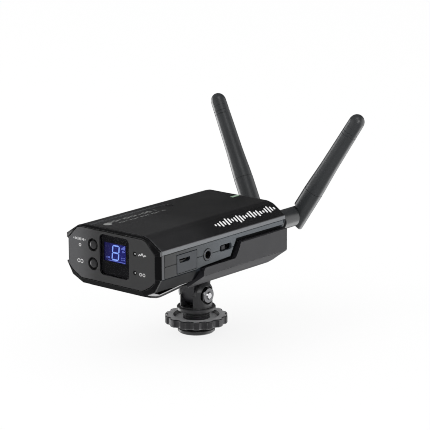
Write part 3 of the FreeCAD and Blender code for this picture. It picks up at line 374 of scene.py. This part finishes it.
worn_steel("screw_steel", base=(0.12, 0.12, 0.125), rough=0.34)
worn_steel("nut_bright", base=(0.13, 0.13, 0.135), rough=0.26, brushed=(700, 2200, 2200))
worn_steel("bolt_bright", base=(0.46, 0.46, 0.47), rough=0.26)
worn_steel("bolt_black", base=(0.10, 0.10, 0.105), rough=0.30)
surface("brass", base=(0.70, 0.52, 0.22), rough=0.25, metallic=1.0, brushed=(900, 200, 900),
        bump=0.2, edge=0.1)
surface("cell_wrap", base=(0.3, 0.31, 0.33), rough=0.35, metallic=0.6, grain=500, bump=0.4,
        edge_wear_and_highlight=0.1)
surface("foam", base=(0.06, 0.06, 0.06), rough=0.9, grain=1200, bump=0.9, bump_mm=0.1,
        edge_wear_and_highlight=0.0)
surface("lead_black", base=(0.02, 0.02, 0.02), rough=0.45, edge_wear_and_highlight=0.0, edge=0.05)
surface("socket_black", base=(0.006, 0.006, 0.007), rough=0.40, grain=2200, bump=0.2,
        edge_wear_and_highlight=0.15, edge_wear_and_highlight_color=(0.06, 0.06, 0.065), edge=0.10)
worn_steel("trim_steel", base=(0.07, 0.073, 0.080), rough=0.30)
surface("knob_grey", base=(0.035, 0.036, 0.040), rough=0.38, edge_wear_and_highlight=0.4,
        edge_wear_and_highlight_color=(0.16, 0.16, 0.17), edge=0.12)
surface("antenna_shell", base=(0.028, 0.030, 0.032), rough=0.30, grain=2000, bump=0.18,
        vary=0.12, smudge=0.07, edge_wear_and_highlight=0.20, edge_wear_and_highlight_color=(0.10, 0.10, 0.105), edge=0.15,
        spec=0.6)
# cradle_grey: lighter edges, partly worn and partly painted highlight
surface("cradle_grey", base=(0.0115, 0.0113, 0.0140), rough=0.46, grain=1500, bump=0.45,
        bump_mm=0.035, vary=0.12, smudge=0.09, edge_wear_and_highlight=0.75, edge_wear_and_highlight_color=(0.34, 0.34, 0.35),
        wear_rough=0.32, edge=0.16, spec=0.41)
# tongue_black: painted highlight, its upper faces near the lip and sides are near white and
# glow
surface("tongue_black", base=(0.004, 0.004, 0.0045), rough=0.32, edge_wear_and_highlight=0.3,
        edge_wear_and_highlight_color=(0.30, 0.30, 0.31), edge=0.08, bump=0.15, spec=0.3,
        top_highlight_color=(0.88, 0.88, 0.89), top_highlight_glow=0.55, top_highlight_area=(-46.0, 17.2))
surface("mount_black", base=(0.034, 0.034, 0.036), rough=0.33, grain=1700, bump=0.30,
        vary=0.14, smudge=0.10, edge_wear_and_highlight=0.55, edge_wear_and_highlight_color=(0.28, 0.28, 0.29), wear_rough=0.28,
        edge=0.18)
# wheel_black: painted highlights on its upper faces and edges
surface("wheel_black", base=(0.019, 0.0185, 0.0205), rough=0.36, grain=1500, bump=0.40,
        bump_mm=0.03, vary=0.14, smudge=0.10, edge_wear_and_highlight=0.95, edge_wear_and_highlight_color=(0.62, 0.62, 0.63),
        edge=0.20, top_highlight_color=(0.62, 0.62, 0.63))
surface("washer_black", base=(0.012, 0.012, 0.012), rough=0.5)
ink("ink_white", color=(0.62, 0.62, 0.62))
# painted light: the glow on ink_bright and ink_faint lifts these prints
ink("ink_bright", color=(0.92, 0.92, 0.92), glow=0.05)
ink("ink_faint", color=(0.24, 0.245, 0.24), rough=0.6, glow=0.10)
# shroud: near-black, for the painted shade round the indicator pipes
surface("shroud", base=(0.002, 0.002, 0.002), rough=0.6, edge_wear_and_highlight=0.0, spec=0.1, edge=0.05)
ink("segment_lit", color=(0.20, 0.33, 0.80), glow=0.42, rough=0.3, bump=0.0)
ink("segment_dim", color=(0.10, 0.14, 0.50), glow=0.45, rough=0.3, bump=0.0)
surface("contact_gold", base=(0.85, 0.62, 0.25), rough=0.22, metallic=1.0, edge_wear_and_highlight=0.0,
        edge=0.03, bump=0.05)

slot_of = {part["node"]: part["material_slot"] for part in frame["record"]["subparts"]}
for name, part in frame["nodes"].items():
    key = "bolt_bright" if name == "tilt_bolt" else slot_of[name]
    part.data.materials.clear()
    part.data.materials.append(MATERIALS.get(key))


# --------------------------------------------------------------- mesh helpers
class Relief:
    """Thin solids on a plane, in mm: x along across, y along up, height along out."""

    def __init__(self, across, up, out):
        self.axes = across, up, out
        self.bm = bmesh.new()

    def at(self, origin, low, high):
        """Set the origin (metres) and the height span of the solids that follow."""
        self.origin, self.low, self.high = origin, low, high
        return self

    def vertex(self, x, y, height):
        across, up, out = self.axes
        offset = across * x + up * y + out * height
        return self.bm.verts.new(self.origin + offset * MM)

    def slab(self, outline):
        bottom = [self.vertex(x, y, self.low) for x, y in outline]
        top = [self.vertex(x, y, self.high) for x, y in outline]
        self.bm.faces.new(bottom)
        self.bm.faces.new(top[::-1])
        for i in range(len(outline)):
            j = (i + 1) % len(outline)
            self.bm.faces.new((bottom[j], bottom[i], top[i], top[j]))

    def pill(self, x, y, width, height, steps=3):
        """Bar whose short ends are half rounds."""
        radius = min(width, height) / 2
        points = []
        for side_x, side_y, start in ((1, 1, 0), (-1, 1, 90), (-1, -1, 180), (1, -1, 270)):
            for i in range(steps + 1):
                angle = math.radians(start + 90 * i / steps)
                point = (x + side_x * (width / 2 - radius) + radius * math.cos(angle),
                         y + side_y * (height / 2 - radius) + radius * math.sin(angle))
                if not points or math.dist(point, points[-1]) > 1e-4:
                    points.append(point)
        if math.dist(points[0], points[-1]) < 1e-4:
            points.pop()
        self.slab(points)

    def ring(self, x, y, inner, outer, segments=24, start=0.0, end=360.0):
        """Flat ring, or a capped arc when it stops short of a full turn."""
        closed = end - start >= 359.9
        count = segments if closed else segments + 1
        profile = ((inner, self.low), (outer, self.low), (outer, self.high), (inner, self.high))
        rows = []
        for i in range(count):
            angle = math.radians(start + (end - start) * i / segments)
            rows.append([self.vertex(x + r * math.cos(angle), y + r * math.sin(angle), height)
                         for r, height in profile])
        for i in range(segments):
            a, b = rows[i], rows[(i + 1) % count]
            for k in range(4):
                m = (k + 1) % 4
                self.bm.faces.new((a[k], a[m], b[m], b[k]))
        if not closed:
            self.bm.faces.new(rows[0])
            self.bm.faces.new(rows[-1][::-1])

    def finish(self, name, material, slot):
        bmesh.ops.recalc_face_normals(self.bm, faces=self.bm.faces)
        mesh = bpy.data.meshes.new(name)
        self.bm.to_mesh(mesh)
        self.bm.free()
        piece = bpy.data.objects.new(name, mesh)
        bpy.context.scene.collection.objects.link(piece)
        mesh.materials.append(MATERIALS[material])
        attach(piece, "receiver")


def stroke(start, end, width):
    """Outline of a bar from start to end, with pointed ends."""
    (ax, ay), (bx, by) = start, end
    length = math.dist(start, end)
    half = width / 2
    tx, ty = (bx - ax) / length * half, (by - ay) / length * half
    return [start, (ax + tx - ty, ay + ty + tx), (bx - tx - ty, by - ty + tx),
            end, (bx - tx + ty, by - ty - tx), (ax + tx + ty, ay + ty - tx)]


# ---------------------------------------------------------------- lit display
def display_relief():
    return Relief(X, Z, -Y).at(Vector((0, LCD_LOW.y, TOP)), low=0.01, high=0.035)


def lcd_digit():
    """Seven-segment figure eight, leaning to the right."""
    centre, width = 1.75, 3.9
    bottom, top = -13.9, -7.2
    bar_width, end_gap, lean = 0.66, 0.12, 0.10
    middle = (bottom + top) / 2
    left, right = centre - width / 2, centre + width / 2
    bars = [((left, z), (right, z)) for z in (top, middle, bottom)]
    for low, high in ((middle, top), (bottom, middle)):
        bars += [((x, low), (x, high)) for x in (left, right)]

    digit = display_relief()
    for a, b in bars:
        dx, dz = b[0] - a[0], b[1] - a[1]
        gap = end_gap / math.hypot(dx, dz)
        outline = stroke((a[0] + dx * gap, a[1] + dz * gap),
                         (b[0] - dx * gap, b[1] - dz * gap), bar_width)
        digit.slab([(x + lean * (z - middle), z) for x, z in outline])
    digit.finish("lcd_digit", "segment_lit", "lcd_blue")


def lcd_icons():
    icons = display_relief()
    bars_foot = -8.45
    for i in range(4):                  # rising bars, top right
        height = 0.7 + 0.44 * i
        icons.pill(x=5.4 + 0.62 * i, y=bars_foot + height / 2, width=0.36, height=height)
    # ring with a short bar, below the rising bars
    icons.ring(x=6.3, y=-9.35, inner=0.28, outer=0.5, segments=16)
    icons.pill(x=7.2, y=-9.35, width=0.7, height=0.3)
    for i in range(3):                  # ticks, bottom left
        icons.pill(x=-3.7 + 0.8 * i, y=-13.2, width=0.42, height=0.9)
    for z in (-12.4, -13.3):            # two rows of cells, bottom right
        for x in (5.5, 6.3, 7.1):
            icons.pill(x=x, y=z, width=0.46, height=0.5)
    # line along the bottom
    icons.pill(x=2.4, y=-14.55, width=10.6, height=0.30)
    icons.finish("lcd_icons", "segment_dim", "lcd_blue")


# ------------------------------------------------------ prints on the plate
METER_HEIGHTS = (0.7, 1.3, 0.9, 1.6, 1.1, 1.5, 0.8, 1.25, 0.7)
# (x, z) along the zigzag line
ZIGZAG = [(16.9, -9.2), (17.7, -8.2), (18.4, -8.9), (19.2, -7.5), (20.1, -9.2),
          (20.9, -8.2), (21.6, -8.7)]


def linked_rings(marks, x, y, spacing, inner, outer, link_width, link_height):
    for side in (-1, 1):
        marks.ring(x + side * spacing / 2, y, inner, outer)
    marks.pill(x, y, link_width, link_height)


def plate_marks():
    marks = Relief(X, Z, -Y).at(Vector((0, PLATE_FACE, TOP)), low=-0.004, high=0.022)
    # upper left: row of bars with a ring below
    for i, height in enumerate(METER_HEIGHTS):
        marks.pill(x=-23.4 + 0.9 * i, y=-7.0, width=0.46, height=height)
    marks.ring(x=-19.5, y=-9.85, inner=0.45, outer=0.78)
    # lower left
    linked_rings(marks, x=-19.45, y=-17.5, spacing=1.9, inner=0.62, outer=0.95,
                 link_width=1.0, link_height=0.32)
    # upper right
    for a, b in zip(ZIGZAG, ZIGZAG[1:]):
        marks.slab(stroke(a, b, width=0.42))
    # lower right
    linked_rings(marks, x=19.2, y=-17.7, spacing=2.0, inner=0.5, outer=0.8,
                 link_width=1.1, link_height=0.3)
    marks.finish("plate_marks", "ink_white", "pipe_white")


# ------------------------------------------ waveform print on the right bevel
WAVE_WIDTHS = (1.3, 2.2, 3.6, 2.5, 4.5, 3.2, 1.9, 3.0, 4.9, 3.8, 2.3, 1.7, 3.4, 4.6, 2.7, 4.0,
               2.1, 1.5, 3.1, 4.3, 2.9, 1.6)


def bevel_waveform():
    first_y, span_y = 43.9, 43.6
    down_slope = Vector((0.8364, 0, -0.5482))
    outward = Vector((-down_slope.z, 0, down_slope.x))
    origin = Vector((21.6 * MM, PRINT_FRONT, TOP - 0.9 * MM))
    wave = Relief(down_slope, Y, outward).at(origin, low=-0.004, high=0.024)
    for i, width in enumerate(WAVE_WIDTHS):
        wave.pill(x=3.06 + 0.25 * math.sin(i * 0.9),
                  y=first_y + i * (span_y / (len(WAVE_WIDTHS) - 1)),
                  width=width, height=1.02, steps=4)
    wave.finish("bevel_waveform", "ink_bright", "pipe_white")


def indicator_hole_shade():
    """Painted shade: black rings round the two indicator pipes, inside their holes and just in
    front of the pipe ends, standing for the shade in the holes.
    """
    low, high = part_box("led_light_pipes")
    inset = 1.6 * MM
    hole_shade_rings = Relief(X, Z, -Y)
    for z in (low.z + inset, high.z - inset):
        origin = Vector(((low.x + high.x) / 2, low.y, z))
        hole_shade_rings.at(origin, low=-0.88, high=-0.30).ring(x=0, y=0, inner=0.54, outer=1.03)
        hole_shade_rings.at(origin, low=0.01, high=0.08).ring(x=0, y=0, inner=0.36, outer=1.09)
    hole_shade_rings.finish("indicator_hole_shade", "shroud", "socket_black")


# ------------------------------------------------- faint ticks on the top panel
def tick_column(ticks, x, first_y, pitch, group, widths, height):
    """Column of 22 places along the lid, the last place of each group left empty."""
    for i in range(22):
        if i % group != group - 1:
            ticks.pill(x, first_y + i * pitch, widths[i % len(widths)], height)


def panel_ticks():
    tilt = 0.42 / 17.0                  # rise of the panel towards the middle
    across = Vector((1, 0, tilt)).normalized()
    outward = Vector((-tilt, 0, 1)).normalized()
    origin = Vector((-17 * MM, PRINT_FRONT, TOP - 0.50 * MM))
    ticks = Relief(across, Y, outward).at(origin, low=-0.004, high=0.02)
    tick_column(ticks, x=5.4, first_y=9.0, pitch=1.55, group=7,
                widths=(1.3, 2.2, 1.6, 2.6, 1.4), height=0.62)
    ticks.ring(x=6.9, y=7.0, inner=0.0, outer=2.1)
    tick_column(ticks, x=9.4, first_y=12.6, pitch=1.5, group=5,
                widths=(1.0, 1.5, 1.1), height=0.55)
    ticks.finish("panel_ticks", "ink_faint", "top_shell")


# ------------------------------------------------------------------- contacts
def port_contacts():
    """Five gold strips under the port tongue."""
    low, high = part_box("usb_port_tongue")
    pitch = 0.65
    half_x, half_y = 1.1, 0.14
    contacts = Relief(X, Y, -Z)
    for i in range(5):
        y = (low.y + high.y) / 2 + (i - 2) * pitch * MM
        contacts.at(Vector((high.x - 1.2 * MM, y, low.z)), low=-0.02, high=0.06)
        contacts.slab([(-half_x, -half_y), (half_x, -half_y),
                       (half_x, half_y), (-half_x, half_y)])
    contacts.finish("port_contacts", "contact_gold", "brass")


def jack_contacts():
    """Three gold arcs inside the jack, each turned 40 degrees on from the last."""
    low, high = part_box("jack_trim_ring")
    axis = Vector((0, (low.y + high.y) / 2, (low.z + high.z) / 2))
    contacts = Relief(Y, Z, X)
    for i, x in enumerate((0.0262, 0.0222, 0.0190)):
        contacts.at(axis + X * x, low=-0.3, high=0.3)
        contacts.ring(x=0, y=0, inner=1.62, outer=1.795, segments=20,
                      start=200 + 40 * i, end=340 + 40 * i)
    contacts.finish("jack_contacts", "contact_gold", "brass")


lcd_digit()
lcd_icons()
plate_marks()
bevel_waveform()
indicator_hole_shade()
panel_ticks()
port_contacts()
jack_contacts()


# --------------------------------------------------------- stage and lighting
def build_floor():
    """Pale floor, mostly self-lit so that shadows stay light."""
    bpy.ops.mesh.primitive_plane_add(size=12, location=(0, 2.0, 0))
    floor = bpy.context.object
    floor.name = "floor"
    s = new_shader("floor_pale")
    tone = s.mix(s.noise(3.0), (0.94, 0.94, 0.94), (0.96, 0.96, 0.96))
    diffuse = s.node("BsdfDiffuse", {"Color": tone})
    glow = s.node("Emission", {"Strength": 0.995})
    diffuse_share = 0.15
    s.finish(s.node("MixShader", {0: diffuse_share, 1: glow.outputs[0],
                                  2: diffuse.outputs[0]}))
    floor.data.materials.append(MATERIALS["floor_pale"])
    floor.visible_glossy = False


ROOM = 0.20         # level seen in reflections away from every patch
DARKEST = 0.015
FLAT = 1.0          # level for every other kind of ray
# Soft patches: direction, inner and outer angle in degrees, added level
PATCHES = [((0.625, 0.742, -0.20), 22, 50, 1.3),       # broad panel behind the right side
           ((0.10, 0.70, -0.70), 6, 28, 1.80),         # pale floor behind
           ((-0.97, -0.10, -0.12), 6, 24, 5.2),        # strip at the far left
           ((-0.625, -0.742, -0.10), 10, 48, 0.35),    # weak fill, left front
           ((-0.20, -0.35, -0.92), 20, 60, 0.30),      # floor in front
           ((-0.15, 0.742, 0.65), 12, 45, -0.13),      # dark ceiling
           ((-0.74, 0.63, -0.22), 12, 32, -0.19),      # dark at the left rear
           ((0.86, -0.42, 0.30), 6, 22, 3.2),          # card beside the camera
           ((0.35, -0.30, 0.90), 5, 22, 1.6)]          # small overhead box


def build_world():
    world = bpy.data.worlds.new("studio")
    bpy.context.scene.world = world
    s = Shader(world, "World", "Generated")
    # found by reflected rays alone, so the ray type below is exact
    world.cycles.sampling_method = "NONE"
    level = ROOM
    for direction, inner, outer, value in PATCHES:
        facing = s.node("VectorMath", {0: s.position, 1: Vector(direction).normalized()},
                        operation="DOT_PRODUCT").outputs["Value"]
        patch = s.map_range(facing, math.cos(math.radians(outer)),
                            math.cos(math.radians(inner)), high=value)
        level = s.math("ADD", patch, level)
    level = s.math("MAXIMUM", level, DARKEST)
    glossy = s.node("LightPath").outputs["Is Glossy Ray"]
    other = s.math("SUBTRACT", 1.0, glossy)
    strength = s.math("ADD", s.multiply(level, glossy), s.multiply(other, FLAT))
    s.finish(s.node("Background", {0: (1, 1, 1), 1: strength}))


def build_key_light():
    """Soft square light, high at the left front."""
    place, target = Vector((-0.55, -0.9, 1.1)), Vector((0, 0, 0.045))
    light = bpy.data.lights.new("key_soft", "AREA")
    light.energy = 5.0
    light.size = 0.9
    lamp = bpy.data.objects.new("key_soft", light)
    bpy.context.scene.collection.objects.link(lamp)
    lamp.location = place
    lamp.rotation_euler = (target - place).to_track_quat("-Z", "Y").to_euler()
    lamp.visible_glossy = False


def build_camera():
    """Long lens from the right front, a little above the lid."""
    azimuth, elevation, roll = (math.radians(a) for a in (40.112, 13.891, -0.176))
    place = Vector((0.6446, -0.7509, TOP + 0.24062))
    lens = bpy.data.cameras.new("camera")
    camera = bpy.data.objects.new("camera", lens)
    bpy.context.scene.collection.objects.link(camera)
    lens.sensor_width = 36.0
    lens.sensor_fit = "HORIZONTAL"
    lens.lens = 178.46
    lens.clip_start = 0.05
    lens.clip_end = 50
    right = Vector((math.cos(azimuth), math.sin(azimuth), 0))
    back = Vector((math.sin(azimuth) * math.cos(elevation),
                   -math.cos(azimuth) * math.cos(elevation), math.sin(elevation)))
    up = back.cross(right)
    rolled_right = right * math.cos(roll) + up * math.sin(roll)
    rolled_up = up * math.cos(roll) - right * math.sin(roll)
    turn = Matrix((rolled_right, rolled_up, back)).transposed()
    camera.matrix_world = Matrix.Translation(place) @ turn.to_4x4()
    bpy.context.scene.camera = camera


build_floor()
build_world()
build_key_light()
build_camera()
view = bpy.context.scene.view_settings
view.view_transform = "Standard"
view.look = "None"
view.exposure = 0.0
bpy.context.scene.cycles.filter_width = 1.0
